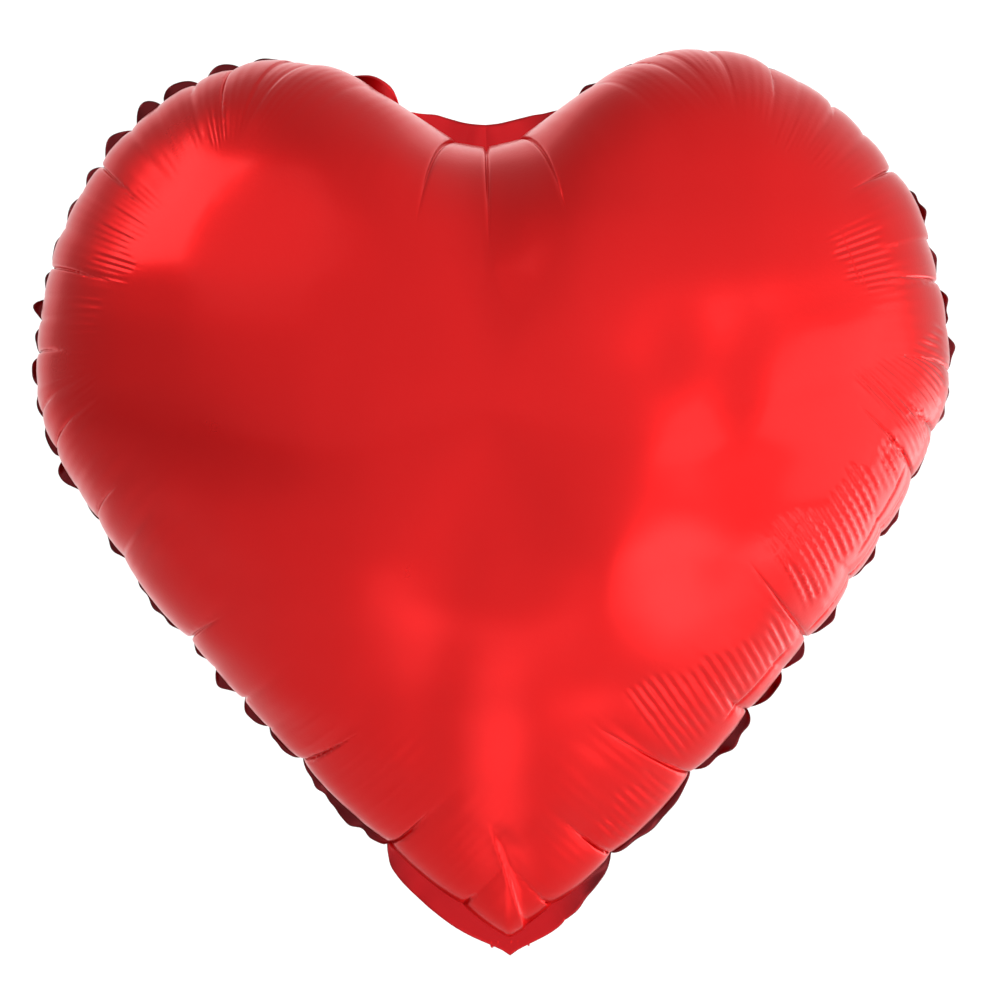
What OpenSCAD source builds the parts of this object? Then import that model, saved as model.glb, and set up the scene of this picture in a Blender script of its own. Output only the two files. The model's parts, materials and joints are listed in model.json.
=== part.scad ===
// Heart-shaped foil balloon: two film panels, the welded seam round them, and a filling neck
// with a flat self-sealing valve, folded up behind the heart's tip.
// The heart stands upright: X across, Z up, and the seam lies in the plane Y = 0.
// The front faces -Y. The origin is the heart's tip.

/* [Heart] */
// Width over the seam, inflated
heart_w = 376; // [200:2:600]
// Height from the tip to the top of the lobes, inflated
heart_h = 370; // [200:2:600]
// Depth from front to back, inflated
heart_d = 178; // [90:2:260]
// How far the cleft dips below the top of the lobes
cleft_drop = 30; // [15:1:60]

/* [Film] */
// Width of the welded seam outside the inflated part
seam_w = 6; // [4:0.5:8]
// Thickness that each film panel is given, so that it is a closed solid
film_t = 0.5; // [0.4:0.1:0.8]
// Thickness that each valve film is given
valve_film_t = 0.2; // [0.15:0.05:0.25]

/* [Neck] */
// Width of the filling neck
neck_w = 27; // [24:1:36]
// Length of the filling neck from its fold to its end
neck_len = 78; // [70:1:100]
// Width of the neck where it is gathered at the fold
neck_root_w = 15; // [12:1:18]
// Lean of the folded neck from the vertical
neck_lean = 42; // [40:1:50]
// Radius of the ribbon hole in the neck's end
ribbon_hole_r = 2.5; // [2:0.5:3]

/* [Valve] */
// Width of the flat valve tube
valve_w = 20; // [16:1:22]
// Height that the valve reaches to inside the heart
valve_top = 92; // [70:1:120]

/* [Hidden] */

foil = [0.80, 0.06, 0.08];
clear_film = [0.88, 0.90, 0.92, 0.6];
ink = [0.15, 0.2, 0.45];

// One stretch of outline has this many straight steps
curve_steps = 15;
half_w = heart_w / 2;
// The outline was drawn 188 wide on each side of the middle and 370 high, and is scaled from that
sx = half_w / 188;
sz = heart_h / 370;
cleft_z = heart_h - cleft_drop;

// Rays of the inflated panels start here, level with the widest part of the interior
hub_z = 0.6 * heart_h;
// Shares of the way from the hub to the weld line at which the panels have a ring of points
rings = [0.12, 0.25, 0.37, 0.48, 0.58, 0.67, 0.75, 0.82, 0.875, 0.92, 0.955, 0.98, 0.993, 1];
// Panel profile: depth = (1 - share ^ round_a) ^ round_b, blunt at the lobes and slender at the tip
round_a = 2.1;
round_b = 0.476;
tip_a = 1.45;
tip_b = 0.86;
// Angle from straight down within which the slender tip profile fades into the blunt one
tip_spread = 38;

// The neck turns about this line, just behind the seam at the tip
fold_y = 2.4;
fold_z = 6;
gather_r = 1.6;
// Half of the space between the two plies of the neck, which the valve films lie in
neck_gap = valve_film_t + 0.15;
neck_seam_w = 2.5;
taper_len = 18;
hole_inset = 8;
inlet_end = 14;
valve_throat_w = 5;
valve_start = seam_w * 1.3 + 6;
valve_weld_w = 1.2;
print_t = 0.1;

// Point at share t of the way along a cubic curve
function bezier(p, t) =
    pow(1 - t, 3) * p[0] + 3 * pow(1 - t, 2) * t * p[1] + 3 * (1 - t) * t * t * p[2] + pow(t, 3) * p[3];

// The three curves of the right half, from the cleft over the lobe and down to the tip,
// drawn in by i from the outer edge of the seam
function right_curves(i) = let (
    top = heart_h - i, side = half_w - i, low = cleft_z - 1.5 * i
) [
    [[0, low], [31 * sx, low], [44 * sx, top], [82 * sx, top]],
    [[82 * sx, top], [123 * sx, top], [side, 326 * sz], [side, 236 * sz]],
    [[side, 236 * sz], [side, 189 * sz], [50 * sx - 0.4 * i, 24 * sz + 1.2 * i], [0, 1.3 * i]]
];

function right_half(i) = [
    for (c = right_curves(i)) for (k = [0 : curve_steps - 1]) bezier(c, k / curve_steps)
];

// Closed outline, clockwise from the cleft: right half, tip, then the left half mirrored
function outline(i) = let (r = right_half(i), n = len(r)) concat(
    r,
    [[0, 1.3 * i]],
    [for (k = [n - 1 : -1 : 1]) [-r[k][0], r[k][1]]]
);

// 1 straight below the hub, falling smoothly to 0 over the tip spread
function tip_share(p) = let (a = atan2(abs(p[0]), hub_z - p[1])) exp(-pow(a / tip_spread, 2));

// Share of the full half depth at share v of the way out to weld point p
function bulge(p, v) = let (
    s = tip_share(p),
    a = round_a + (tip_a - round_a) * s,
    b = round_b + (tip_b - round_b) * s
) pow(max(0, 1 - pow(v, a)), b);

// Rings of points over one side of the inflated heart, each ring from the hub outwards
function skin(edge, half_depth, lift, shrink) = [
    for (v = rings) for (p = edge)
        [p[0] * v * shrink, -(lift + half_depth * bulge(p, v)), hub_z + (p[1] - hub_z) * v * shrink]
];

// Closed shell of one panel, bulging towards -Y from its weld line in the plane Y = 0
module panel_shell() {
    edge = outline(seam_w);
    n = len(edge);
    m = len(rings);
    half_depth = heart_d / 2 - film_t;
    shrink = 1 - 1.2 * film_t / (half_w - seam_w);
    outer = skin(edge, half_depth, film_t, 1);
    inner = skin(edge, half_depth - film_t, 0, shrink);
    points = concat(outer, [[0, -(film_t + half_depth), hub_z]], inner, [[0, -(half_depth - film_t), hub_z]]);
    outer_hub = n * m;
    inner_start = outer_hub + 1;
    inner_hub = inner_start + n * m;
    rim = (m - 1) * n;
    faces = concat(
        [for (j = [0 : m - 2]) for (i = [0 : n - 1]) let (k = (i + 1) % n)
            [j * n + i, j * n + k, (j + 1) * n + k, (j + 1) * n + i]],
        [for (i = [0 : n - 1]) [outer_hub, (i + 1) % n, i]],
        [for (j = [0 : m - 2]) for (i = [0 : n - 1]) let (k = (i + 1) % n, s = inner_start)
            [s + j * n + k, s + j * n + i, s + (j + 1) * n + i, s + (j + 1) * n + k]],
        [for (i = [0 : n - 1]) [inner_hub, inner_start + i, inner_start + (i + 1) % n]],
        [for (i = [0 : n - 1]) let (k = (i + 1) % n, s = inner_start)
            [rim + i, rim + k, s + rim + k, s + rim + i]]
    );
    polyhedron(points, [for (f = faces) [for (q = [len(f) - 1 : -1 : 0]) f[q]]], convexity = 6);
}

module front_panel() {
    color(foil) panel_shell();
}

module back_panel() {
    color(foil) mirror([0, 1, 0]) panel_shell();
}

// Both films welded into one flat margin round the heart
module edge_seam() {
    color(foil) rotate([90, 0, 0]) linear_extrude(2 * film_t, center = true) difference() {
        polygon(outline(0));
        polygon(outline(seam_w));
    }
}

// Flat strip inside the heart, narrow in the throat at the tip and widening upwards
module inner_strip(width, thickness) {
    rotate([90, 0, 0]) linear_extrude(thickness) polygon([
        [-valve_throat_w / 2, valve_start], [valve_throat_w / 2, valve_start],
        [width / 2, valve_start + 20], [width / 2, valve_top],
        [-width / 2, valve_top], [-width / 2, valve_start + 20]
    ]);
}

module valve_front_film() {
    color(clear_film) translate([0, -print_t / 2, 0]) inner_strip(valve_w, valve_film_t);
}

module valve_back_film() {
    color(clear_film) translate([0, valve_film_t + print_t / 2, 0]) inner_strip(valve_w, valve_film_t);
}

// The two weld lines that close the long sides of the valve tube
module valve_side_welds() {
    weld_bottom = valve_start + 24;
    color(clear_film) for (side = [-1, 1])
        translate([side * (valve_w / 2 - valve_weld_w / 2), 0, (weld_bottom + valve_top) / 2])
            cube([valve_weld_w, print_t, valve_top - weld_bottom], center = true);
}

// Printed patch that keeps the two valve films from welding to each other at the seam
module valve_release_print() {
    print_w = valve_w - 2 * valve_weld_w - 2;
    color(ink) translate([0, 0, valve_start + 34]) cube([print_w, print_t, 20], center = true);
}

// Puts the neck's own frame in place: its Z runs from the fold to the end, and +Y faces away from the heart
module at_neck() {
    translate([0, fold_y, fold_z]) rotate([-neck_lean, 0, 0]) children();
}

// Outline of one ply of the neck, gathered at the fold
module neck_outline() {
    polygon([
        [-neck_root_w / 2, 0], [neck_root_w / 2, 0],
        [neck_w / 2, taper_len], [neck_w / 2, neck_len],
        [-neck_w / 2, neck_len], [-neck_w / 2, taper_len]
    ]);
}

// One ply, lying from Y = 0 towards +Y, with the ribbon hole through it
module neck_ply() {
    difference() {
        rotate([90, 0, 0]) translate([0, 0, -film_t]) linear_extrude(film_t) intersection() {
            neck_outline();
            translate([-neck_w, gather_r + 0.2]) square([2 * neck_w, neck_len]);
        }
        translate([0, film_t / 2, neck_len - hole_inset]) rotate([90, 0, 0])
            cylinder(r = ribbon_hole_r, h = 4 * film_t, center = true, $fn = 48);
    }
}

module neck_front_ply() {
    color(foil) at_neck() translate([0, neck_gap, 0]) neck_ply();
}

module neck_back_ply() {
    color(foil) at_neck() translate([0, -neck_gap - film_t, 0]) neck_ply();
}

// The two weld lines that join the plies along their long sides
module neck_side_seams() {
    color(foil) at_neck() for (side = [-1, 1])
        translate([side * (neck_w - neck_seam_w) / 2, 0, (taper_len + neck_len) / 2])
            cube([neck_seam_w, 2 * neck_gap, neck_len - taper_len], center = true);
}

// The film bunched at the fold, which the neck turns about
module neck_fold_gather() {
    color(foil) at_neck() rotate([0, 90, 0])
        cylinder(r = gather_r, h = neck_root_w, center = true, $fn = 48);
}

// Valve film between the plies, from just past the fold to short of the ribbon hole
module inlet_strip() {
    bottom = taper_len * 0.5;
    top = neck_len - inlet_end;
    width = min(valve_w, neck_w - 2 * neck_seam_w - 1);
    rotate([90, 0, 0]) linear_extrude(valve_film_t) polygon([
        [-width / 2 + 3, bottom], [width / 2 - 3, bottom],
        [width / 2, taper_len], [width / 2, top], [-width / 2, top], [-width / 2, taper_len]
    ]);
}

module inlet_front_film() {
    color(clear_film) at_neck() translate([0, valve_film_t + print_t / 2, 0]) inlet_strip();
}

module inlet_back_film() {
    color(clear_film) at_neck() translate([0, -print_t / 2, 0]) inlet_strip();
}

front_panel();
back_panel();
edge_seam();
valve_front_film();
valve_back_film();
valve_side_welds();
valve_release_print();
neck_front_ply();
neck_back_ply();
neck_side_seams();
neck_fold_gather();
inlet_front_film();
inlet_back_film();
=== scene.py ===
"""Looks of the heart-shaped foil balloon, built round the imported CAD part.

Lengths are in metres unless a name ends in _mm. The heart stands upright, its front faces -Y,
the seam lies in the plane Y = 0 and the origin is the heart's tip.
"""

import json
import math

import bpy
import numpy as np
from mathutils import Matrix, Vector
from mathutils.geometry import delaunay_2d_cdt
from mathutils.kdtree import KDTree


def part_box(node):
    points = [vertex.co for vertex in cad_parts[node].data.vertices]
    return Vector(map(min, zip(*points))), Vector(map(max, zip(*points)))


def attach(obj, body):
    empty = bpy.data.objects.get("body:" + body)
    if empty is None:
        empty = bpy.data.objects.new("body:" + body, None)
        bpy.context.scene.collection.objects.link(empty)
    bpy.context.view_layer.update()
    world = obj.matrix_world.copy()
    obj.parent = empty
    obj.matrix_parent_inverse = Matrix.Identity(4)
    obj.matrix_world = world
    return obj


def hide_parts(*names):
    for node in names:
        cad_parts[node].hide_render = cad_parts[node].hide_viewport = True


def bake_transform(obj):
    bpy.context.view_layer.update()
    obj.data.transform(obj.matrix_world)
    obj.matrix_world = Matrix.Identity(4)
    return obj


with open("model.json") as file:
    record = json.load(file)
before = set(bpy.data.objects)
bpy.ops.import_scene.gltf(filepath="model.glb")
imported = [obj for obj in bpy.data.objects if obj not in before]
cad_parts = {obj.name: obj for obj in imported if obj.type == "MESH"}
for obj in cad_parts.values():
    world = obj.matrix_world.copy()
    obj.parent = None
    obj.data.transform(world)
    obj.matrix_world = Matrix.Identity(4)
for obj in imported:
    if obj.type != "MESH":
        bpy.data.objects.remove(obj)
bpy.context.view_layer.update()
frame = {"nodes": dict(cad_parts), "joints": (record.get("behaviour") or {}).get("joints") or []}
MM = 0.001

# ---------------------------------------------------------------- sizes, mostly the CAD part's

SEAM_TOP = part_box("edge_seam")[1]
HALF_W = SEAM_TOP.x
HEART_H = SEAM_TOP.z
# 3 mm deeper than the CAD part's cleft
CLEFT_DROP = 33 * MM
SEAM_W = 6 * MM
# Where the even heart is deepest
HUB = np.array([0.0, 0.6 * HEART_H])
HALF_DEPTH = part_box("back_panel")[1].y - 1.5 * MM

# The neck's own frame: along it from the fold, and outwards, away from the heart's back
NECK_FOLD = np.array(frame["joints"][0]["pos_m"])
NECK_LEAN = math.radians(42)
NECK_LEN = 78 * MM
NECK_W = 27 * MM
NECK_ROOT_W = 15 * MM
NECK_TAPER = 18 * MM
RIBBON_HOLE_R = 2.5 * MM
RIBBON_HOLE_INSET = 8 * MM
RIBBON_HOLE_SIDES = 48
NECK_WELD_W = 2.5 * MM
INLET_W = 20 * MM
INLET_START = 9 * MM
INLET_END = NECK_LEN - 14 * MM

# ---------------------------------------------------------------- outline of the weld line


# The outline's points are drawn for a heart of this half width and height in mm
DRAWN_HALF_W = 188
DRAWN_H = 370


def bezier(p, t):
    t = np.asarray(t)[:, None]
    a, b, c, d = (np.array(q, float) for q in p)
    return (1 - t) ** 3 * a + 3 * (1 - t) ** 2 * t * b + 3 * (1 - t) * t * t * c + t**3 * d


def weld_outline(count):
    """Points at equal steps along the weld line, clockwise from the cleft as seen from the front."""
    side = HALF_W - SEAM_W
    top = HEART_H - SEAM_W
    low = HEART_H - CLEFT_DROP - 1.5 * SEAM_W
    tip = 1.3 * SEAM_W
    x_unit = HALF_W / DRAWN_HALF_W
    z_unit = HEART_H / DRAWN_H
    curves = [
        [(0, low), (31 * x_unit, low), (44 * x_unit, top), (82 * x_unit, top)],
        [(82 * x_unit, top), (123 * x_unit, top), (side, 326 * z_unit), (side, 236 * z_unit)],
        [(side, 236 * z_unit), (side, 189 * z_unit), (47.6 * x_unit, 31.2 * z_unit), (0, tip)],
    ]
    steps = np.linspace(0, 1, 300)
    half = np.concatenate([bezier(c, steps[:-1]) for c in curves] + [[[0, tip]]])
    left = half[-2:0:-1] * (-1, 1)
    loop = equal_steps(np.concatenate([half, left]), count)
    run = np.arange(count) * loop_length(loop) / count
    return loop + outward(loop) * uneven_pull(run, loop_length(loop))[:, None]


def uneven_pull(run, length):
    """How far the film sits outside the even outline: one lower side is fuller than the other."""
    total = np.zeros(len(run))
    for place, spread, size in UNEVEN:
        off = (run - place * MM + length / 2) % length - length / 2
        total += size * MM * np.exp(-((off / (spread * MM)) ** 2))
    return total


def equal_steps(loop, count):
    closed = np.concatenate([loop, loop[:1]])
    run = np.concatenate([[0], np.cumsum(np.linalg.norm(np.diff(closed, axis=0), axis=1))])
    at = np.linspace(0, run[-1], count, endpoint=False)
    return np.stack([np.interp(at, run, closed[:, k]) for k in range(2)], 1)


def outward(loop):
    step = np.roll(loop, -1, 0) - np.roll(loop, 1, 0)
    normal = np.stack([-step[:, 1], step[:, 0]], 1)
    return normal / np.linalg.norm(normal, axis=1)[:, None]


def loop_length(loop):
    return np.linalg.norm(np.roll(loop, -1, 0) - loop, axis=1).sum()


# Where the outline is fuller or slacker: place along the weld from the cleft, spread and size in mm
UNEVEN = [(360, 100, 3.6), (500, 40, 1.0), (-250, 90, 1.8), (-110, 40, 0.8)]
RIM_SAMPLES = 3000
WELD = weld_outline(RIM_SAMPLES)
WELD_OUT = outward(WELD)
WELD_LENGTH = loop_length(WELD)

# Tucks where the seam is pinched: distance along the weld from the cleft, and how far the crease
# runs into the front panel as seen from the front, both in mm. 0 is a tuck with no long crease.
RIGHT_TUCKS = [
    (10, 32), (38, 0), (59, 8), (74, 0), (96, 6), (123, 19), (137, 0), (154, 14), (172, 6), (191, 28),
    (223, 0), (241, 26), (259, 0), (278, 8), (304, 20), (324, 34), (349, 8), (371, 10), (399, 36),
    (415, 0), (436, 8), (470, 30), (517, 16), (549, 7),
]
LEFT_TUCKS = [
    (0, 38), (9, 32), (40, 0), (69, 6), (83, 0), (107, 24), (125, 12), (143, 0), (158, 6), (177, 24),
    (191, 0), (207, 6), (224, 32), (236, 0), (246, 8), (259, 22), (272, 0), (285, 16), (301, 20),
    (318, 0), (333, 22), (352, 6), (392, 22), (407, 0), (424, 8), (440, 0), (458, 24),
    (508, 18), (547, 7),
]
# Depth along the film per length seen from the front: the film is steep near the seam
FILM_PER_VIEW = 2.0
MINOR_TUCK = 0.28

# How far a strong tuck draws the weld line in
TUCK_PULL = 2.6 * MM
MARGIN_W = 7.4 * MM
# How high the margin's scallops stand, by place along the weld from the cleft in mm, left is negative
SCALLOP_HEIGHTS = [
    (-568, 1.0), (-500, 0.8), (-420, 0.85), (-330, 1.0), (-250, 1.15), (-190, 1.35), (-110, 1.4), (-70, 0.8),
    (0, 1.0), (60, 0.6), (190, 0.5), (215, 0.95), (300, 0.9), (330, 0.7), (420, 0.85), (500, 0.9), (568, 1.0),
]

# ---------------------------------------------------------------- small helpers


def smooth(low, high, value):
    t = np.clip((value - low) / (high - low), 0, 1)
    return t * t * (3 - 2 * t)


def waves(points, size, seed, count=14):
    """Smooth noise of about unit height: a sum of plane waves about size long."""
    rng = np.random.default_rng(seed)
    points = np.atleast_2d(points)
    total = np.zeros(len(points))
    for _ in range(count):
        direction = rng.normal(size=points.shape[1])
        direction *= 2 * math.pi / (np.linalg.norm(direction) * size * rng.uniform(0.7, 1.6))
        total += np.sin(points @ direction + rng.uniform(0, 2 * math.pi))
    return total / math.sqrt(count / 2)


def round_noise(s, size, seed):
    """Smooth noise along the closed seam: s runs once round it."""
    angle = 2 * math.pi * s / WELD_LENGTH
    radius = WELD_LENGTH / (2 * math.pi)
    return waves(np.stack([np.cos(angle), np.sin(angle)], 1) * radius, size, seed)


def new_mesh(name, points, faces):
    mesh = bpy.data.meshes.new(name)
    mesh.from_pydata(np.asarray(points).tolist(), [], faces)
    mesh.update()
    mesh.shade_smooth()
    piece = bpy.data.objects.new(name, mesh)
    bpy.context.scene.collection.objects.link(piece)
    return piece


def apply_modifiers(piece):
    graph = bpy.context.evaluated_depsgraph_get()
    piece.data = bpy.data.meshes.new_from_object(piece.evaluated_get(graph), depsgraph=graph)
    piece.modifiers.clear()


def thicken(piece, thickness, offset):
    solid = piece.modifiers.new("thickness", "SOLIDIFY")
    solid.thickness = thickness
    solid.offset = offset
    solid.use_even_offset = False
    apply_modifiers(piece)
    piece.data.shade_smooth()


# ---------------------------------------------------------------- the seam's tucks


def tuck_places():
    right = [(d * MM, length * MM) for d, length in RIGHT_TUCKS]
    left = [(WELD_LENGTH - d * MM, length * MM) for d, length in LEFT_TUCKS]
    both = np.array(sorted(right + left))
    return both[:, 0], both[:, 1] * FILM_PER_VIEW


TUCKS, CREASES = tuck_places()
TUCK_STRENGTH = MINOR_TUCK + (1 - MINOR_TUCK) * smooth(0, 0.024, CREASES)
# A tuck with no long crease still has a short one, and each crease curves a little
CREASE_DRAWS = np.random.default_rng(3)
CREASE_LENGTHS = np.where(CREASES > 0, CREASES, CREASE_DRAWS.uniform(6, 12, len(TUCKS)) * MM)
CREASE_BENDS = CREASE_DRAWS.uniform(-0.10, 0.10, len(TUCKS))
# The creases under the cleft run straight
BY_CLEFT = np.minimum(TUCKS, WELD_LENGTH - TUCKS) < 0.02
CREASE_BENDS[BY_CLEFT] = 0


def pillow(s):
    """For places s along the weld: share of the way across the pillow, its width, the strength of
    the nearer tucks, and the number of the tuck it starts from."""
    count = len(TUCKS)
    start = np.searchsorted(TUCKS, s, side="right") - 1
    low = np.where(start < 0, TUCKS[-1] - WELD_LENGTH, TUCKS[start])
    after = (start + 1) % count
    high = np.where(start + 1 >= count, TUCKS[0] + WELD_LENGTH, TUCKS[after])
    share = (s - low) / (high - low)
    strength = TUCK_STRENGTH[start] * (1 - share) + TUCK_STRENGTH[after] * share
    return share, high - low, strength, start % count


def tuckedness(s, roundness=0.4):
    """1 at a tuck, falling to 0 in the middle of the pillow beside it."""
    share, width, strength, _ = pillow(s)
    return (1 - np.abs(np.sin(math.pi * share)) ** roundness), width, strength


def seam_sway(s):
    """How far the seam swings out of its plane, to one side on one pillow and back on the next."""
    share, width, _, start = pillow(s)
    rng = np.random.default_rng(5)
    swing = rng.uniform(0.5, 1.4, len(TUCKS)) * np.where(rng.random(len(TUCKS)) < 0.5, -1, 1)
    size = 1.6 * MM * np.minimum(1, width / 0.026)
    off_tip = smooth(0.018, 0.05, np.abs(s - WELD_LENGTH / 2))
    return (np.sin(math.pi * share) * swing[start] * size + round_noise(s, 0.09, 8) * 0.8 * MM) * off_tip


# ---------------------------------------------------------------- pleats and lines in the film

# Groups of fine pleats, all in mm but the last: from and to along the weld, the depth that they start
# at, the depths that they reach at the two ends, their height, and how far they lean along the weld
RIDGE_BANDS = [
    (262, 327, 22, 28, 74, 0.40, 0.22), (329, 402, 34, 42, 76, 0.54, 0.25),
    (408, 473, 26, 42, 66, 0.50, 0.22), (478, 518, 10, 30, 26, 0.26, 0.1),
    (268, 320, 8, 16, 18, 0.20, 0.1), (204, 244, 50, 74, 70, 0.24, 0.0),
    (-226, -168, 47, 69, 67, 0.15, 0.0), (-312, -234, 44, 58, 62, 0.09, 0.0),
    (-120, -102, 42, 60, 62, 0.12, 0.0), (-500, -440, 22, 40, 44, 0.08, 0.0),
    (128, 170, 44, 62, 60, 0.08, 0.0),
]
RIDGE_STEP = 3.6 * MM
# Long fine lines beside the rim: from and to along the weld, and the depth, in mm
RIM_LINES = [(324, 366, 28), (405, 444, 22), (330, 398, 19)]

# ---------------------------------------------------------------- film mesh

# The cut panel is this much larger than the inflated heart: film goes into depth and tucks
CUT_SCALE = 1.195
CUT = HUB + (WELD - HUB) * CUT_SCALE
CUT_OUT = outward(CUT)
COLUMNS = 1100
FINE_STEP = 2.2 * MM
FINE_BAND = 66 * MM
COARSE_STEP = 6.5 * MM


def tree_of(points):
    tree = KDTree(len(points))
    for i, p in enumerate(points):
        tree.insert((p[0], p[1], 0), i)
    tree.balance()
    return tree


def nearest_on(points, loop):
    """Index of the nearest loop point and the distance to it."""
    tree = tree_of(loop)
    found = [tree.find((p[0], p[1], 0))[1:] for p in points]
    return np.array([f[0] for f in found]), np.array([f[1] for f in found])


def inside(points, loop):
    result = np.zeros(len(points), bool)
    for a, b in zip(loop, np.roll(loop, -1, 0)):
        across = (a[1] > points[:, 1]) != (b[1] > points[:, 1])
        x = (b[0] - a[0]) * (points[:, 1] - a[1]) / (b[1] - a[1] + 1e-30) + a[0]
        result ^= across & (points[:, 0] < x)
    return result


def cut_points(run, depth):
    """Places on the flat cut panel: run along the weld and depth in from the edge, one each a point."""
    at = (run / WELD_LENGTH * RIM_SAMPLES) % RIM_SAMPLES
    low = at.astype(int) % RIM_SAMPLES
    high = (low + 1) % RIM_SAMPLES
    part = (at - np.floor(at))[:, None]
    edge = CUT[low] * (1 - part) + CUT[high] * part
    inwards = CUT_OUT[low] * (1 - part) + CUT_OUT[high] * part
    return edge - inwards * depth[:, None]


def crease_line(number, depth):
    """Where a crease runs on the flat cut panel, at the given depths from the edge."""
    length = CREASE_LENGTHS[number]
    return cut_points(TUCKS[number] - CREASE_BENDS[number] * depth**2 / length, depth)


def fine_points():
    """Closely spaced places along the creases, the pleats, the lines beside the rim and the tip's fold."""
    lines = []
    for number, length in enumerate(CREASE_LENGTHS):
        down = np.arange(1.0 * MM, 1.1 * length, 1.5 * MM)
        line = crease_line(number, down)
        along = np.gradient(line, axis=0) if len(line) > 1 else np.array([[0.0, 1.0]])
        across = np.stack([-along[:, 1], along[:, 0]], 1) / np.linalg.norm(along, axis=1)[:, None]
        for aside in (0, -0.22, 0.22, -0.5, 0.5, -0.9, 0.9, -1.5, 1.5, -2.4, 2.4):
            lines.append(line + across * aside * MM)
    runs, depths = [], []
    for low, high, depth in RIM_LINES:
        for aside in (-1.6, -0.8, -0.3, 0.3, 0.8, 1.6):
            along = np.arange(low, high, 1.6) * MM
            runs.append(along)
            depths.append(np.full(len(along), (depth + aside) * MM))
    for low, high, near, far_low, far_high, height, skew in RIDGE_BANDS:
        for place in np.arange(low * MM, high * MM, RIDGE_STEP / 4):
            share = (place / MM - low) / (high - low)
            deepest = far_low + (far_high - far_low) * share + 8
            down = np.arange(near - 6, deepest, 2.2) * MM
            runs.append(place - skew * down)
            depths.append(down)
    runs, depths = np.concatenate(runs), np.concatenate(depths)
    points = cut_points(runs, depths)
    points = points[nearest_on(points, CUT)[1] > depths * 0.985]
    tip = np.array([(x * MM, z * MM) for z in np.arange(-30, 42, 1.1) for x in np.arange(-18, 19, 1.1)])
    points = np.concatenate(lines + [points, tip])
    points = points[inside(points, equal_steps(CUT, 400))]
    points = points[nearest_on(points, CUT)[1] > 0.7 * MM]
    return spaced(points, 0.2 * MM)


def spaced(points, gap):
    """The points without those that come closer than gap to an earlier one."""
    tree = tree_of(points)
    keep = np.ones(len(points), bool)
    for i, p in enumerate(points):
        if keep[i]:
            for _, j, _ in tree.find_range((p[0], p[1], 0), gap):
                if j > i:
                    keep[j] = False
    return points[keep]


def triangulated(points, edges, border_count):
    """The flat points and triangles inside the border, which is the first border_count points."""
    border = [list(range(border_count))]
    result = delaunay_2d_cdt([Vector(p) for p in points], edges, border, 1, 1e-8)
    return np.array([tuple(v) for v in result[0]]), np.array([tuple(f) for f in result[2]])


def all_facing(flat, triangles, way):
    """The triangles, all running the same way round: anticlockwise for way 1, clockwise for -1."""
    a, b, c = (flat[triangles[:, k]] for k in range(3))
    turned = ((b - a)[:, 0] * (c - a)[:, 1] - (b - a)[:, 1] * (c - a)[:, 0]) * way < 0
    triangles[turned] = triangles[turned][:, ::-1]
    return triangles


def film_mesh(columns, fine_step, fine_band, coarse_step):
    """Flat cut panel as points and triangles, fine near its edge. The first points are the edge."""
    edge = equal_steps(CUT, columns)
    edge_step = loop_length(edge) / columns
    rings = []
    depth = 0.0
    step = edge_step
    while step < coarse_step * 0.99:
        depth += step
        count = columns if depth < fine_band else int(loop_length(edge) / step)
        base = equal_steps(CUT, count)
        ring = base - outward(base) * depth
        rings.append(ring[nearest_on(ring, CUT)[1] > depth * 0.985])
        step = min(fine_step, step * 1.4) if depth < fine_band else step * 1.22
    low, high = edge.min(0), edge.max(0)
    rows = np.arange(low[1], high[1], coarse_step * math.sqrt(3) / 2)
    across = np.arange(low[0], high[0], coarse_step)
    grid = np.array([(x + (k % 2) * coarse_step / 2, z) for k, z in enumerate(rows) for x in across])
    grid = grid[inside(grid, equal_steps(CUT, 400))]
    grid = grid[nearest_on(grid, CUT)[1] > depth + 0.7 * step]
    fine = fine_points()
    plain = np.concatenate(rings + [grid])
    plain = spaced(plain[nearest_on(plain, fine)[1] > 0.8 * MM], 0.6 * MM)
    points = np.concatenate([edge, fine, plain])
    border = [(i, (i + 1) % columns) for i in range(columns)]
    flat, triangles = triangulated(points, border, columns)
    return flat, all_facing(flat, triangles, 1)


# ---------------------------------------------------------------- inflated surface

TIP_SPREAD = math.radians(38)
# The panel's profile, depth = (1 - reach ^ a) ^ b, is blunt at the lobes and slender at the tip
BLUNT_A, BLUNT_B = 2.1, 0.476
TIP_A, TIP_B = 1.45, 0.86
PROFILE_STEPS = 200


def profile_table(a, b):
    """For each ratio of depth to reach: how the profile's angle grows with the share of film used."""
    ratios = np.linspace(0.3, 1.6, 60)
    angle = np.linspace(0, math.pi / 2, 400)
    out = np.sin(angle) ** (2 / a)
    up = np.cos(angle) ** (2 * b)
    used = []
    for ratio in ratios:
        steps = np.hypot(np.diff(out), ratio * np.diff(up))
        run = np.concatenate([[0], np.cumsum(steps)])
        used.append(np.interp(np.linspace(0, 1, PROFILE_STEPS), run / run[-1], angle))
    return ratios, np.array(used)


def profile_angle(film_share, ratio, a, b):
    ratios, table = profile_table(a, b)
    row = np.interp(ratio, ratios, np.arange(len(ratios)))
    low = np.clip(row.astype(int), 0, len(ratios) - 2)
    column = np.clip(film_share, 0, 1) * (PROFILE_STEPS - 1)
    left = np.clip(column.astype(int), 0, PROFILE_STEPS - 2)
    fr, fc = row - low, column - left
    top = table[low, left] * (1 - fc) + table[low, left + 1] * fc
    bottom = table[low + 1, left] * (1 - fc) + table[low + 1, left + 1] * fc
    return top * (1 - fr) + bottom * fr


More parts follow.
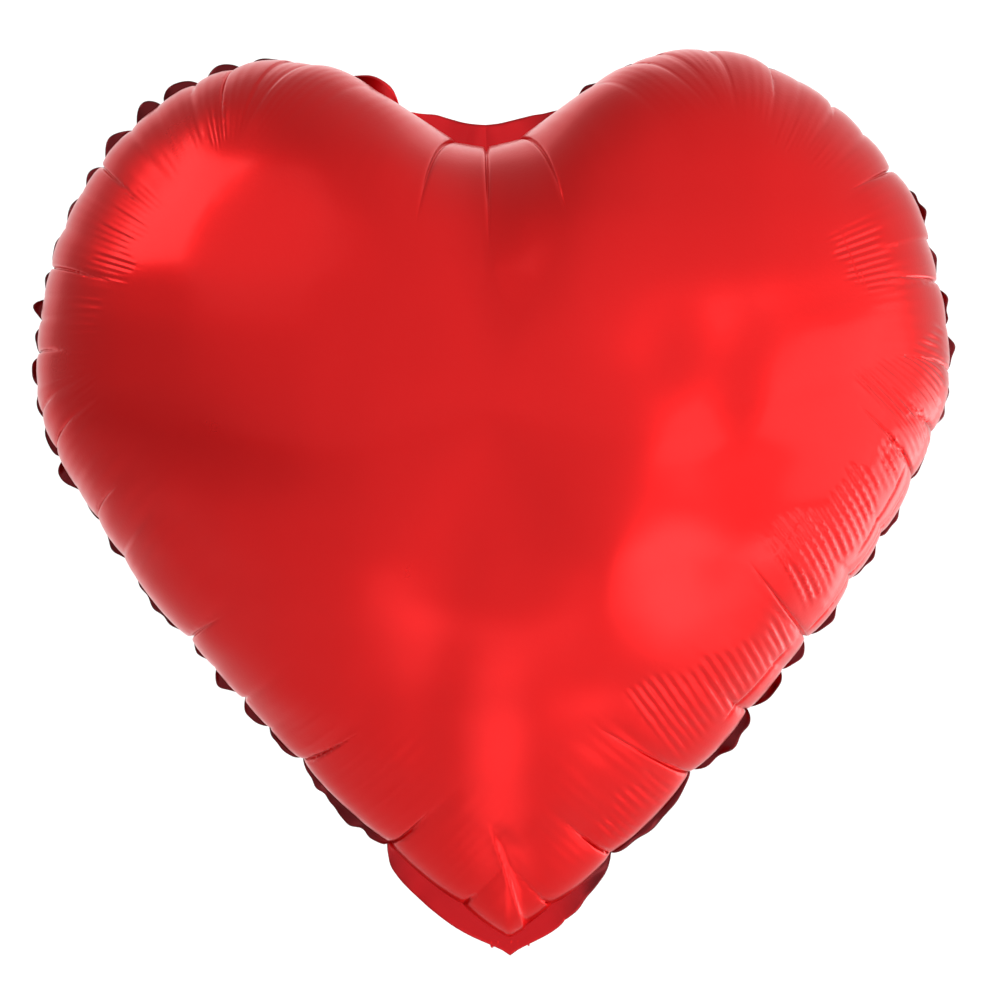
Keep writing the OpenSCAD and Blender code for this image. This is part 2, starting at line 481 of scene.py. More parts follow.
def rounded_reach(around, order):
    """Reach from the hub to the weld, averaged over a fan of directions, so that no corner shows inside."""
    reach = np.linalg.norm(WELD - HUB, axis=1)[order]
    fan = np.linspace(-0.34, 0.34, 35)
    weight = np.exp(-((fan / 0.17) ** 2))
    turns = np.concatenate([around[order] + 2 * math.pi * k for k in (-1, 0, 1)])
    spread = [np.interp(around[order] + turn, turns, np.tile(reach, 3)) for turn in fan]
    return np.average(spread, axis=0, weights=weight)


def smooth_heart(flat, side):
    """Inflated places of cut-panel points, before tucks and wrinkles. side is -1 front, 1 back."""
    away = flat - HUB
    around = np.arctan2(away[:, 0], away[:, 1])
    weld_around = np.unwrap(np.arctan2(*(WELD - HUB).T))
    order = np.argsort(weld_around)
    turns = np.concatenate([weld_around[order] + 2 * math.pi * k for k in (-1, 0, 1)])
    weld = np.stack([np.interp(around, turns, np.tile(WELD[order, k], 3)) for k in range(2)], 1)
    reach = np.linalg.norm(weld - HUB, axis=1)
    far = np.linalg.norm(away, axis=1)
    share = far / (reach * CUT_SCALE)
    rounded = np.interp(around, turns, np.tile(rounded_reach(weld_around, order), 3))
    near_weld = smooth(0.62, 1.0, share)[:, None]
    weld = HUB + (weld - HUB) * (near_weld + (1 - near_weld) * (rounded / reach)[:, None])
    reach = np.linalg.norm(weld - HUB, axis=1)
    share = np.minimum(1, far / (reach * CUT_SCALE))
    from_tip = np.abs(np.arctan2(np.sin(around - math.pi), np.cos(around - math.pi)))
    slender = np.exp(-((from_tip / TIP_SPREAD) ** 2))
    ratio = HALF_DEPTH / reach
    angle = profile_angle(share, ratio, BLUNT_A, BLUNT_B) * (1 - slender)
    angle += profile_angle(share, ratio, TIP_A, TIP_B) * slender
    angle = np.clip(angle, 0, math.pi / 2)
    out = np.sin(angle) ** (2 / (BLUNT_A + (TIP_A - BLUNT_A) * slender))
    up = np.cos(angle) ** (2 * (BLUNT_B + (TIP_B - BLUNT_B) * slender))
    plane = HUB + (weld - HUB) * out[:, None]
    return np.stack([plane[:, 0], side * HALF_DEPTH * up, plane[:, 1]], 1)


def point_normals(points, triangles):
    a, b, c = (points[triangles[:, k]] for k in range(3))
    face = np.cross(b - a, c - a)
    total = np.zeros_like(points)
    for k in range(3):
        np.add.at(total, triangles[:, k], face)
    return total / (np.linalg.norm(total, axis=1)[:, None] + 1e-12)


# Soft swellings and dents of the front film: x, z, radius and height in mm
FRONT_DENTS = [
    (56, 206, 24, 1.9), (86, 186, 20, -2.0), (40, 164, 22, 1.8), (72, 152, 18, -1.9), (106, 222, 18, 1.5),
    (128, 238, 22, 1.6), (100, 250, 16, -1.2), (-4, 84, 30, 1.4), (-118, 296, 26, 1.2), (-86, 330, 22, -0.8),
    (26, 118, 22, -1.2), (60, 240, 16, -1.2), (112, 160, 16, 1.2),
]
# The line of the fold at the tip: x, z in mm from the tip upwards
TIP_FOLD = [(5, 12), (2.4, 24), (0.4, 33), (-3.7, 48), (-7.3, 60)]


def ridge_height(s, depth, seed):
    """Height of the fine pleats that run into the panel from the seam."""
    total = np.zeros(len(s))
    signed = np.where(s > WELD_LENGTH / 2, s - WELD_LENGTH, s)
    ragged = round_noise(s, 0.012, seed + 1) * 2.5 * MM
    for low, high, near, far_low, far_high, height, skew in RIDGE_BANDS:
        place = signed + skew * depth
        along = smooth(low - 1, low + 3, place / MM) * (1 - smooth(high - 3, high + 1, place / MM))
        far = far_low + (far_high - far_low) * np.clip((place / MM - low) / (high - low), 0, 1)
        into = smooth(near - 4, near + 5, (depth + ragged) / MM)
        into = into * (1 - smooth(far - 3, far + 3, (depth + ragged) / MM))
        phase = 2 * math.pi * place / RIDGE_STEP + 0.7 * round_noise(s, 0.03, seed)
        sharp = 1 - np.abs(np.sin(phase / 2)) ** 0.8 * 2
        total += along * into * height * MM * sharp
    everywhere = 0.04 * MM * smooth(4, 16, depth / MM) * (1 - smooth(44, 70, (depth + 2 * ragged) / MM))
    faint = np.sin(2 * math.pi * s / (1.6 * RIDGE_STEP) + 2.5 * round_noise(s, 0.03, seed))
    return total * (0.8 + 0.25 * round_noise(s, 0.008, seed + 2)) + everywhere * faint


def rim_lines(s, depth):
    """Depth of the long fine lines beside the rim."""
    total = np.zeros(len(s))
    for low, high, place in RIM_LINES:
        along = smooth(low, low + 6, s / MM) * (1 - smooth(high - 6, high, s / MM))
        total += along * np.exp(-np.abs(depth / MM - place) / 0.6) * 0.7 * MM
    return total


def tip_fold(points):
    """Height of the fold that runs up from the tip: a ridge with a hollow on its +X side."""
    path = np.array(TIP_FOLD) * MM
    x = np.interp(points[:, 2], path[:, 1], path[:, 0])
    aside = (points[:, 0] - x) / MM
    low, high = path[0, 1] / MM, path[-1, 1] / MM
    reach = smooth(low - 6, low + 4, points[:, 2] / MM) * (1 - smooth(high - 14, high, points[:, 2] / MM))
    ridge = 0.6 * np.exp(-np.abs(aside) / 2.2)
    hollow = np.where(aside > 0, aside / 3.2 * np.exp(1 - aside / 3.2), 0)
    return (ridge - 1.5 * hollow) * reach * MM


def crease_depth(flat, s, depth):
    """Depth of the long creases that run in from the stronger tucks."""
    total = np.zeros(len(s))
    for number, (place, length) in enumerate(zip(TUCKS, CREASE_LENGTHS)):
        off = (s - place + WELD_LENGTH / 2) % WELD_LENGTH - WELD_LENGTH / 2
        near = (np.abs(off) < 0.02) & (depth < 1.15 * length)
        beside = np.linalg.norm(flat[near] - crease_line(number, depth[near]), axis=1)
        fade = (1 - smooth(0.4, 1.05, depth[near] / length)) * smooth(0.5, 5, depth[near] / MM)
        groove = np.exp(-np.abs(beside / (0.55 * MM)) ** 1.3) * 1.6 * MM
        lips = np.exp(-((beside - 2.4 * MM) / (2.0 * MM)) ** 2) * (0.0 if BY_CLEFT[number] else 0.22) * MM
        total[near] = np.maximum(total[near], (groove - lips) * fade * min(1, length / 0.02))
    return total


def panel(name, side, seed):
    """One film panel of the inflated heart, from its weld line inwards."""
    flat, triangles = FILM
    points = smooth_heart(flat, side)
    if side > 0:
        triangles = triangles[:, ::-1]
    normals = point_normals(points, triangles)
    nearest, depth = nearest_on(flat, CUT)
    s = nearest * WELD_LENGTH / RIM_SAMPLES
    tucked, width, strength = tuckedness(s)
    size = np.minimum(1.15, width / 0.028)
    swell = (depth / 0.012) * np.exp(1 - depth / 0.012) * (1 - smooth(0.045, 0.065, depth))
    height = 2.8 * MM * (1 - tucked * strength * 0.8) * size * swell
    height -= crease_depth(flat, s, depth)
    height += ridge_height(s, depth, seed)
    height -= rim_lines(s, depth)
    height += waves(points, 0.09, seed + 20) * 0.7 * MM * smooth(0.0, 0.06, depth)
    height += waves(points, 0.03, seed + 21) * 0.12 * MM * smooth(0.0, 0.03, depth)
    if side < 0:
        for x, z, radius, rise in FRONT_DENTS:
            gap = np.hypot(points[:, 0] - x * MM, points[:, 2] - z * MM) / (radius * MM)
            height += rise * MM * np.exp(-gap**2)
        height += tip_fold(points)
    else:
        by_neck = np.exp(-((points[:, 0] / (18 * MM)) ** 4)) * (1 - smooth(0.070, 0.095, points[:, 2]))
        height -= (height + 0.8 * MM * smooth(0, 0.02, depth)) * by_neck
    points = points + normals * height[:, None]
    near_seam = np.exp(-depth / 0.010)
    pull = -TUCK_PULL * tucked * strength * np.minimum(1, width / 0.025) * near_seam
    points[:, [0, 2]] += WELD_OUT[nearest] * pull[:, None]
    points[:, 1] += seam_sway(s) * near_seam
    return new_mesh(name, points, [tuple(f) for f in triangles.tolist()])


def scallops(s):
    """How far the margin stands out at places s along the weld, as a share of its full width: each
    stretch between two tucks is a lens of its own height, leaning to one end."""
    share, width, _, start = pillow(s)
    rng = np.random.default_rng(11)
    height = rng.uniform(0.42, 1.12, len(TUCKS))[start]
    lean = rng.uniform(0.7, 1.45, len(TUCKS))[start]
    fullness = rng.uniform(0.45, 0.8, len(TUCKS))[start]
    lens = np.sin(math.pi * np.clip(share, 0, 1) ** lean) ** fullness
    lens *= 1 + 0.10 * round_noise(s, 0.010, 33)
    signed = np.where(s > WELD_LENGTH / 2, s - WELD_LENGTH, s) / MM
    side = np.interp(signed, *zip(*SCALLOP_HEIGHTS))
    return lens * np.minimum(1.35, height * side * (0.55 + 0.45 * smooth(0.008, 0.03, width)))


# The weld's rounded corner at the tip is this many rim samples to each side
TIP_CORNER = 80


def seam_margin():
    """The welded margin outside the weld line, gathered at each tuck."""
    columns = 2400
    rows = 8
    place = np.round(np.arange(columns) * RIM_SAMPLES / columns).astype(int) % RIM_SAMPLES
    s = place * WELD_LENGTH / RIM_SAMPLES
    weld, out = WELD[place], WELD_OUT[place]
    soft_tucked, width, soft_strength = tuckedness(s)
    pull = -TUCK_PULL * soft_tucked * soft_strength * np.minimum(1, width / 0.025)
    at_cleft = np.exp(-((np.minimum(s, WELD_LENGTH - s) / 0.034) ** 4))
    past_tip = s - WELD_LENGTH / 2
    at_tip = np.exp(-(((past_tip - 0.012) / 0.047) ** 6))
    web = np.maximum(at_cleft, at_tip)
    stand = scallops(s) * (1 - web) + web
    at_point = np.exp(-((past_tip / 0.014) ** 2))
    wider = (3.4 * at_cleft + 1.2 * at_tip - 2.6 * at_point) * MM
    full = (MARGIN_W + wider) * stand
    # The margin's corner at the tip is cut sharp, so it stands further out than the weld's rounded one
    sides = WELD_OUT[RIM_SAMPLES // 2 + np.array([-TIP_CORNER, TIP_CORNER])]
    towards_side = np.clip((out @ sides.T).max(1), 0.80, 1)
    in_corner = np.abs(past_tip) < TIP_CORNER * WELD_LENGTH / RIM_SAMPLES
    full = np.where(in_corner, full / towards_side, full)
    _, _, _, start = pillow(s)
    rng = np.random.default_rng(11)
    fold_side = np.where(rng.random(len(TUCKS)) < 0.5, -1, 1)[start]
    sway = seam_sway(s)
    ruffle = round_noise(s, 0.012, 31) * 0.5 * MM * smooth(0.018, 0.05, np.abs(s - WELD_LENGTH / 2))
    dip = (1 - stand) * (1 - web)
    points = []
    for k in range(rows + 1):
        share = k / rows
        reach = np.maximum(full, 0.9 * MM) * share - 1.2 * MM * (1 - share)
        aside = fold_side * dip * 2.2 * MM * np.sin(share * math.pi * 0.75)
        y = sway * (1 + 0.6 * share * (1 - web)) + aside + ruffle * share**2
        plane = weld + out * (pull * (1 - smooth(0, 0.6, share) * web) + reach)[:, None]
        points.append(np.stack([plane[:, 0], y, plane[:, 1]], 1))
    faces = []
    for k in range(rows):
        for i in range(columns):
            j = (i + 1) % columns
            faces.append((k * columns + i, k * columns + j, (k + 1) * columns + j, (k + 1) * columns + i))
    return new_mesh("seam_margin", np.concatenate(points), faces)


FILM = film_mesh(COLUMNS, FINE_STEP, FINE_BAND, COARSE_STEP)
front = panel("front_film", -1, 40)
back = panel("back_film", 1, 70)
margin = seam_margin()
thicken(margin, 0.3 * MM, 0)

# ---------------------------------------------------------------- filling neck


def at_neck(x, outwards, along):
    """Place of a point given in the neck's own frame."""
    y = NECK_FOLD[1] + along * math.sin(NECK_LEAN) + outwards * math.cos(NECK_LEAN)
    z = NECK_FOLD[2] + along * math.cos(NECK_LEAN) - outwards * math.sin(NECK_LEAN)
    return np.stack([x, y, z], 1)


def neck_half_width(along):
    return (NECK_ROOT_W + (NECK_W - NECK_ROOT_W) * np.clip(along / NECK_TAPER, 0, 1)) / 2


def neck_lie(x, along):
    """How far the whole flat neck is crinkled out of its plane: deep pleats near the gathered root."""
    across = x / neck_half_width(along)
    pleats = np.sin(across * 11.0 + 0.6 * np.sin(along / (6 * MM))) * np.exp(-along / (13 * MM)) * 0.55 * MM
    places = np.stack([x, along], 1)
    crinkle = waves(places, 0.030, 91) * 0.35 + waves(places, 0.010, 92) * 0.07
    curl = smooth(0.5, 1.0, along / NECK_LEN) * 1.2 * MM
    return pleats + crinkle * MM * smooth(3, 16, along / MM) + curl


def neck_gap(x, along):
    """Half of the space between the two plies: shut at the side welds, open over the valve films."""
    inner = neck_half_width(along) - NECK_WELD_W
    open_part = 1 - smooth(0.55, 1.0, np.abs(x) / inner)
    return (0.22 + 0.62 * open_part * smooth(0, 14, along / MM)) * MM


def neck_sheet(name, half_width, start, end, side, share, step, hole=False):
    """A film of the neck, side +1 for the outer one, at this share of the space between the plies."""
    alongs = np.append(np.arange(start, end, step), end)
    ring = [(half_width(np.array([a]))[0], a) for a in alongs]
    border = ring + [(-x, a) for x, a in reversed(ring)]
    count = int(2 * half_width(np.array([end]))[0] / step)
    border += [(x, start) for x in np.linspace(-ring[0][0], ring[0][0], count)[1:-1]]
    top = [(x, end) for x in np.linspace(ring[-1][0], -ring[-1][0], count)[1:-1]]
    border = border[: len(ring)] + top + border[len(ring):]
    inner = [
        (x * half_width(np.array([a]))[0], a)
        for a in alongs[1:-1]
        for x in np.linspace(-1, 1, count)[1:-1]
    ]
    centre = np.array([0, NECK_LEN - RIBBON_HOLE_INSET])
    points = np.array(border + inner)
    edges = [(i, (i + 1) % len(border)) for i in range(len(border))]
    if hole:
        far = np.linalg.norm(points - centre, axis=1) > RIBBON_HOLE_R + 0.5 * step
        far[: len(border)] = True
        points = points[far]
        turn = np.linspace(0, 2 * math.pi, RIBBON_HOLE_SIDES, endpoint=False)
        rim = centre + RIBBON_HOLE_R * np.stack([np.cos(turn), np.sin(turn)], 1)
        first = len(points)
        points = np.concatenate([points, rim])
        edges += [(first + i, first + (i + 1) % RIBBON_HOLE_SIDES) for i in range(RIBBON_HOLE_SIDES)]
    flat, triangles = triangulated(points, edges, len(border))
    if hole:
        middle = flat[triangles].mean(1)
        triangles = triangles[np.linalg.norm(middle - centre, axis=1) > RIBBON_HOLE_R * 0.998]
    triangles = all_facing(flat, triangles, -side)
    x, along = flat[:, 0], flat[:, 1]
    outwards = neck_lie(x, along) + side * share * neck_gap(x, along)
    piece = new_mesh(name, at_neck(x, outwards, along), [tuple(f) for f in triangles.tolist()])
    thicken(piece, 0.10 * MM, 1)
    return piece


def neck_welds():
    """The crimped strips down both sides of the neck, with the heat sealer's cross ribs."""
    points, faces = [], []
    rows = np.arange(NECK_TAPER, NECK_LEN - 0.2 * MM, 0.35 * MM)
    across = np.linspace(0, 1, 7)
    for side in (-1, 1):
        for face in (1, -1):
            for along in rows:
                for share in across:
                    x = side * (NECK_W / 2 - NECK_WELD_W * (1 - share))
                    rib = 0.07 * MM * math.sin(2 * math.pi * along / (1.4 * MM))
                    thick = (0.36 * MM + rib) * (1 - share**6) ** 0.5 * smooth(0, 0.25, share + 0.1)
                    points.append((x, face * thick, along))
    x, lift, along = np.array(points).T
    places = at_neck(x, neck_lie(x, along) + lift, along)
    wide, tall = len(across), len(rows)
    for strip in range(2):
        start = 2 * strip * wide * tall
        for face in range(2):
            base = start + face * wide * tall
            for j in range(tall - 1):
                for i in range(wide - 1):
                    quad = [base + j * wide + i, base + j * wide + i + 1]
                    quad += [base + (j + 1) * wide + i + 1, base + (j + 1) * wide + i]
                    faces.append(tuple(quad if (face == 0) == (strip == 0) else quad[::-1]))
        other = start + wide * tall
        loop = [j * wide for j in range(tall)] + [(tall - 1) * wide + i for i in range(1, wide)]
        loop += [j * wide + wide - 1 for j in reversed(range(tall - 1))] + list(reversed(range(1, wide - 1)))
        for i, here in enumerate(loop):
            there = loop[(i + 1) % len(loop)]
            quad = (start + here, other + here, other + there, start + there)
            faces.append(quad if strip == 0 else quad[::-1])
    return new_mesh("neck_welds", places, faces)


# The gather runs round the fold from just under the margin, which is at 0, to the neck's root
GATHER_START = math.radians(-25)
GATHER_TURN = math.radians(262)


def neck_gather():
    """The pleated film that runs from the margin at the tip round the fold to the neck."""
    columns, rows = 120, 26
    points, faces = [], []
    for k in range(rows + 1):
        share = k / rows
        turn = GATHER_START + GATHER_TURN * share
        for i in range(columns + 1):
            across = 2 * i / columns - 1
            half = NECK_ROOT_W / 2 + 1.4 * MM * abs(1 - 2 * share) ** 2
            pleat_size = 0.32 + 0.12 * math.sin(across * 7 + 4 * share)
            pleat = math.sin(across * 19 + 0.8 * math.sin(5 * share)) * pleat_size
            radius = 2.35 + 0.95 * share**3 + pleat * math.sin(math.pi * (0.12 + 0.76 * share))
            y = NECK_FOLD[1] - radius * MM * math.cos(turn)
            z = NECK_FOLD[2] - radius * MM * math.sin(turn)
            points.append((across * half * (1 - 0.03 * math.cos(9 * share)), y, z))
    for k in range(rows):
        for i in range(columns):
            a = k * (columns + 1) + i
            faces.append((a, a + 1, a + columns + 2, a + columns + 1))
    piece = new_mesh("neck_gather", points, faces)
    thicken(piece, 0.12 * MM, 0)
    return piece


def ply_half_width(along):
    return neck_half_width(along) - 0.5 * NECK_WELD_W * smooth(0.6, 1.0, along / NECK_TAPER)


def inlet_half_width(along):
    return INLET_W / 2 - 3 * MM * (1 - smooth(INLET_START, NECK_TAPER, along))


PLY_START = 2.2 * MM
PLY_STEP = 0.9 * MM
INLET_STEP = 1.4 * MM
# How far from the middle of the space between the plies a film lies, as a share of half of it
PLY_SHARE = 1.0
INLET_SHARE = 0.3
ply = (ply_half_width, PLY_START, NECK_LEN)
inlet = (inlet_half_width, INLET_START, INLET_END)
ply_outer = neck_sheet("neck_ply_outer", *ply, 1, PLY_SHARE, PLY_STEP, hole=True)
ply_inner = neck_sheet("neck_ply_inner", *ply, -1, PLY_SHARE, PLY_STEP, hole=True)
inlet_outer = neck_sheet("inlet_film_outer", *inlet, 1, INLET_SHARE, INLET_STEP)
inlet_inner = neck_sheet("inlet_film_inner", *inlet, -1, INLET_SHARE, INLET_STEP)
welds = neck_welds()
gather = neck_gather()

# ---------------------------------------------------------------- materials


def material(name, base, metallic, roughness):
    made = bpy.data.materials.new(name)
    made.use_nodes = True
    shader = made.node_tree.nodes["Principled BSDF"]
    shader.inputs["Base Color"].default_value = (*base, 1)
    shader.inputs["Metallic"].default_value = metallic
    shader.inputs["Roughness"].default_value = roughness
    return made, made.node_tree, shader


def noise_node(tree, scale, detail=3.0, stretch=(1, 1, 1)):
    where = tree.nodes.new("ShaderNodeTexCoord")
    mapping = tree.nodes.new("ShaderNodeMapping")
    mapping.inputs["Scale"].default_value = stretch
    tree.links.new(where.outputs["Object"], mapping.inputs["Vector"])
    made = tree.nodes.new("ShaderNodeTexNoise")
    made.inputs["Scale"].default_value = scale
    made.inputs["Detail"].default_value = detail
    tree.links.new(mapping.outputs["Vector"], made.inputs["Vector"])
    return made


def mapped(tree, value, low, high, start=0.0, end=1.0, interpolation="LINEAR"):
    """The value carried from the range start to end over to the range low to high."""
    made = tree.nodes.new("ShaderNodeMapRange")
    made.interpolation_type = interpolation
    made.inputs["From Min"].default_value = start
    made.inputs["From Max"].default_value = end
    made.inputs["To Min"].default_value = low
    made.inputs["To Max"].default_value = high
    tree.links.new(value, made.inputs["Value"])
    return made.outputs["Result"]


def blended(tree, factor, first, second):
    """A mix of two colours. The first may be another node's output instead."""
    made = tree.nodes.new("ShaderNodeMix")
    made.data_type = "RGBA"
    if isinstance(first, tuple):
        made.inputs["A"].default_value = (*first, 1)
    else:
        tree.links.new(first, made.inputs["A"])
    made.inputs["B"].default_value = (*second, 1)
    tree.links.new(factor, made.inputs["Factor"])
    return made.outputs["Result"]


def place_on_object(tree):
    """The outputs X, Y and Z: where on the object, in metres."""
    where = tree.nodes.new("ShaderNodeTexCoord")
    split = tree.nodes.new("ShaderNodeSeparateXYZ")
    tree.links.new(where.outputs["Object"], split.inputs["Vector"])
    return split.outputs


def bump(tree, shader, height, distance):
    made = tree.nodes.new("ShaderNodeBump")
    made.inputs["Distance"].default_value = distance
    made.inputs["Strength"].default_value = 1.0
    tree.links.new(height, made.inputs["Height"])
    tree.links.new(made.outputs["Normal"], shader.inputs["Normal"])


def foil_material(name, light, dark, rough_low, rough_high):
    made, tree, shader = material(name, light, 1.0, 0.3)
    tone = noise_node(tree, 9, 4)
    colour = blended(tree, mapped(tree, tone.outputs["Fac"], 0.2, 0.8), light, dark)
    tree.links.new(colour, shader.inputs["Base Color"])
    haze = noise_node(tree, 22, 5)
    tree.links.new(mapped(tree, haze.outputs["Fac"], rough_low, rough_high), shader.inputs["Roughness"])
    grain = noise_node(tree, 900, 2)
    bump(tree, shader, grain.outputs["Fac"], 0.00003)
    shader.inputs["Coat Weight"].default_value = 0.25
    shader.inputs["Coat Roughness"].default_value = 0.15
    return made


RED_FOIL = foil_material("red_foil", (0.71, 0.009, 0.009), (0.63, 0.006, 0.007), 0.25, 0.33)


# Where the painted light on the flat part of the margin lies: its middle, and from where to where it fades
# out
WEB_MIDDLE_X = -10 * MM
WEB_PAINTED_LIGHT_FADE = (24 * MM, 48 * MM)
# Colour of the painted light on the flat part of the margin, at the cleft and the tip
WEB_PAINTED_LIGHT_RED = (0.55, 0.006, 0.010)


def painted_shade_seam_foil():
    """The welded margin: two films pressed together, with painted shade darkening it along the sides
    and painted light brightening it where it lies flat, in the cleft and at the tip."""
    # These dark base colours are painted shade: the margin is the same red film as the panels
    made = foil_material("red_foil_seam", (0.13, 0.002, 0.005), (0.08, 0.0015, 0.003), 0.24, 0.38)
    tree = made.node_tree
    shader = tree.nodes["Principled BSDF"]
    painted_shade_colour = shader.inputs["Base Color"].links[0].from_socket
    shifted = tree.nodes.new("ShaderNodeMath")
    shifted.inputs[1].default_value = -WEB_MIDDLE_X
    tree.links.new(place_on_object(tree)["X"], shifted.inputs[0])
    across = tree.nodes.new("ShaderNodeMath")
    across.operation = "ABSOLUTE"
    tree.links.new(shifted.outputs["Value"], across.inputs[0])
    # Painted light: the margin's colour turns brighter red towards the cleft and the tip
    bright = mapped(tree, across.outputs["Value"], 1.0, 0.0, *WEB_PAINTED_LIGHT_FADE, "SMOOTHSTEP")
    tree.links.new(blended(tree, bright, painted_shade_colour, WEB_PAINTED_LIGHT_RED), shader.inputs["Base Color"])
    return made


PAINTED_SHADE_SEAM_FOIL = painted_shade_seam_foil()


def clear_film():
    """Thin milky polyethylene film, as the valve is made of."""
    made, tree, shader = material("valve_film", (0.86, 0.88, 0.90), 0.0, 0.3)
    cloud = noise_node(tree, 60, 4)
    tone = mapped(tree, cloud.outputs["Fac"], 0.2, 0.8)
    tree.links.new(blended(tree, tone, (0.80, 0.83, 0.86), (0.93, 0.94, 0.95)), shader.inputs["Base Color"])
    tree.links.new(mapped(tree, cloud.outputs["Fac"], 0.22, 0.45), shader.inputs["Roughness"])
    tree.links.new(mapped(tree, cloud.outputs["Fac"], 0.5, 0.7), shader.inputs["Alpha"])
    draw = noise_node(tree, 300, 3, (1, 1, 0.08))
    bump(tree, shader, draw.outputs["Fac"], 0.0001)
    return made


def printed_ink():
    """Matt heat-resistant ink, laid on unevenly."""
    made, tree, shader = material("release_print", (0.02, 0.035, 0.17), 0.0, 0.75)
    blotch = noise_node(tree, 350, 5)
    tone = mapped(tree, blotch.outputs["Fac"], 0.0, 1.0)
    colour = blended(tree, tone, (0.012, 0.022, 0.12), (0.035, 0.055, 0.24))
    tree.links.new(colour, shader.inputs["Base Color"])
    tree.links.new(mapped(tree, blotch.outputs["Fac"], 0.6, 0.85), shader.inputs["Roughness"])
    bump(tree, shader, blotch.outputs["Fac"], 0.00005)
    return made


CLEAR_FILM = clear_film()
PRINTED_INK = printed_ink()

PIECES = [
    (front, "front_panel", "red_foil", RED_FOIL),
    (back, "back_panel", "red_foil", RED_FOIL),
    (margin, "edge_seam", "red_foil_seam", PAINTED_SHADE_SEAM_FOIL),
    (ply_outer, "neck_front_ply", "red_foil", RED_FOIL),
    (ply_inner, "neck_back_ply", "red_foil", RED_FOIL),
    (welds, "neck_side_seams", "red_foil_seam", PAINTED_SHADE_SEAM_FOIL),
    (gather, "neck_fold_gather", "red_foil", RED_FOIL),
    (inlet_outer, "inlet_front_film", "valve_film", CLEAR_FILM),
    (inlet_inner, "inlet_back_film", "valve_film", CLEAR_FILM),
]
for piece, node, slot, look in PIECES:
    piece.data.materials.clear()
    piece.data.materials.append(look)
    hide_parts(node)
    if piece is gather:
        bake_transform(piece)
    else:
        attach(piece, "neck" if node.startswith(("neck", "inlet")) else "envelope")

for node in ("valve_front_film", "valve_back_film", "valve_side_welds", "valve_release_print"):
    kept = frame["nodes"][node]
    kept.data.materials.clear()
    kept.data.materials.append(PRINTED_INK if node == "valve_release_print" else CLEAR_FILM)

# ---------------------------------------------------------------- floor, light, camera

FLOOR_Z = -0.30
# How much wider the picture is than the heart, where the camera aims and how far it is rolled
PICTURE_PER_HEART = 1.0835
CAMERA_AIM = Vector((0.0013, 0, 0.1858))
CAMERA_ROLL = math.radians(-1.7)


def aim(thing, target, roll=0.0):
    direction = Vector(target) - thing.location
    turn = direction.to_track_quat("-Z", "Y").to_matrix().to_4x4()
    thing.matrix_world = Matrix.Translation(thing.location) @ turn @ Matrix.Rotation(roll, 4, "Z")


def soft_box(name, place, size, brightness, target=(0, 0, 0.19), shape="RECTANGLE"):
    """A soft light: size is width and height, brightness is that of its face."""
    light = bpy.data.lights.new(name, "AREA")
    light.shape = shape
    light.size, light.size_y = size
    light.energy = brightness * math.pi * size[0] * size[1]
    made = bpy.data.objects.new(name, light)
    bpy.context.scene.collection.objects.link(made)
    made.location = place
    made.visible_camera = False
    aim(made, target)
    return made


def low_glow(name, x, y, size, brightness):
    """A pool of light on the floor, fading outwards: nested ellipses that face up."""
    rings = 5
    for ring in range(rings):
        scale = 0.55 + 0.9 * ring / (rings - 1)
        place = (x, y, FLOOR_Z + 0.05 - 0.002 * ring)
        oval = (size[0] * scale, size[1] * scale)
        soft_box(f"{name}_{ring}", place, oval, brightness / rings, (x, y, 1.0), "ELLIPSE")


def stage_floor():
    """A floor that curves up into a backdrop: its colour is greyer in front on the left as painted shade,
    nearly white behind.
    """
    path = [(y, FLOOR_Z) for y in (-3.0, 0.9, 1.2)]
    bend = 0.8
    turns = np.linspace(0.1, math.pi / 2, 14)
    path += [(1.2 + bend * math.sin(a), FLOOR_Z + bend * (1 - math.cos(a))) for a in turns]
    path += [(2.0, 3.5)]
    points = [(x, y, z) for y, z in path for x in (-4.0, 4.0)]
    faces = [(2 * k, 2 * k + 1, 2 * k + 3, 2 * k + 2) for k in range(len(path) - 1)]
    floor = new_mesh("floor", points, faces)
    made, tree, shader = material("pale_floor_painted_shade", (0.9, 0.9, 0.9), 0.0, 0.8)
    place = place_on_object(tree)
    # Painted shade: the floor's colour is greyer towards the left and in front, lighter to the right and
    # behind
    painted_shade_fade_rightwards = mapped(tree, place["X"], 0.0, 1.0, -1.4, 1.4)
    before = blended(tree, painted_shade_fade_rightwards, (0.55, 0.55, 0.55), (0.95, 0.95, 0.95))
    behind = mapped(tree, place["Y"], 0.0, 1.0, 0.3, 1.3, "SMOOTHSTEP")
    tree.links.new(blended(tree, behind, before, (0.96, 0.96, 0.96)), shader.inputs["Base Color"])
    floor.data.materials.append(made)


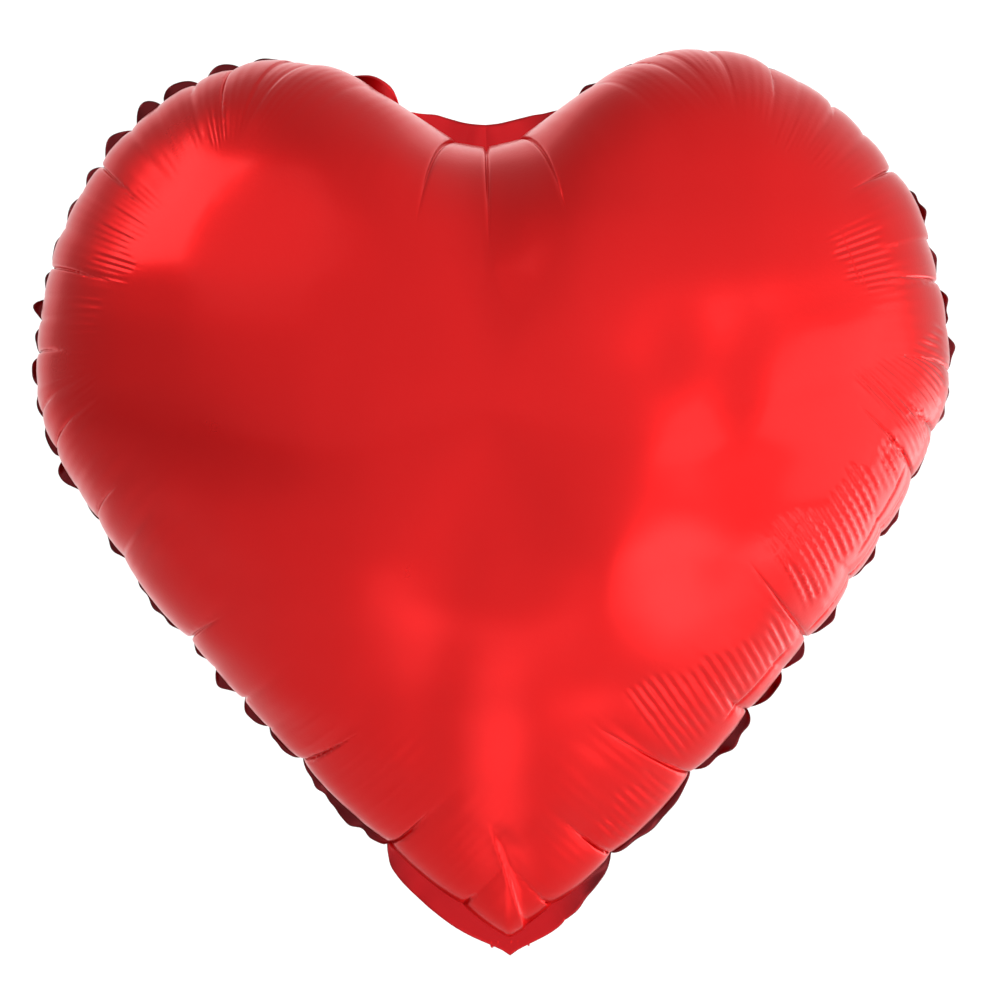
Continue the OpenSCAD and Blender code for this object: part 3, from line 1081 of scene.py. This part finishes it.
def world_light():
    """White light from all round, brightest from the right, the front and below."""
    world = bpy.data.worlds.new("studio")
    bpy.context.scene.world = world
    world.use_nodes = True
    tree = world.node_tree
    where = tree.nodes.new("ShaderNodeTexCoord")
    towards = tree.nodes.new("ShaderNodeVectorMath")
    towards.operation = "DOT_PRODUCT"
    towards.inputs[1].default_value = (0.80, -0.42, -0.42)
    tree.links.new(where.outputs["Generated"], towards.inputs[0])
    strength = mapped(tree, towards.outputs["Value"], 0.5, 1.2, -1.0, 1.0, "SMOOTHSTEP")
    light = tree.nodes["Background"]
    light.inputs["Color"].default_value = (1, 1, 1, 1)
    tree.links.new(strength, light.inputs["Strength"])


def camera():
    lens = bpy.data.cameras.new("camera")
    lens.lens = 90
    lens.sensor_width = 36
    view_width = PICTURE_PER_HEART * 2 * HALF_W
    distance = view_width / 2 / (lens.sensor_width / 2 / lens.lens)
    made = bpy.data.objects.new("camera", lens)
    bpy.context.scene.collection.objects.link(made)
    made.location = CAMERA_AIM + Vector((0, -distance, 0))
    aim(made, CAMERA_AIM, CAMERA_ROLL)
    bpy.context.scene.camera = made


stage_floor()
world_light()
camera()
soft_box("key", (-0.78, -0.30, 0.87), (0.45, 0.5), 2.35)
soft_box("key_tail", (-0.50, -0.62, 0.72), (0.6, 0.55), 0.32, shape="ELLIPSE")
soft_box("side", (0.88, -0.50, 0.13), (1.0, 0.7), 1.35)
soft_box("rim", (0.80, 0.28, -0.10), (0.6, 0.45), 2.4, (0.1, 0, 0.12))
low_glow("low_right", 0.47, -0.37, (0.40, 0.40), 1.75)
low_glow("low_middle", -0.04, -0.29, (0.22, 0.26), 0.75)
backdrop_light = soft_box("backdrop", (0, 0.8, 1.8), (1.6, 0.8), 2.4, (0, 2.0, 0.1))
backdrop_light.visible_glossy = False
floor_light = soft_box("floor_wash", (0.4, -1.9, 1.6), (2.4, 1.6), 2.2, (0.3, -1.7, FLOOR_Z))
floor_light.visible_glossy = False
bpy.context.scene.view_settings.view_transform = "Standard"
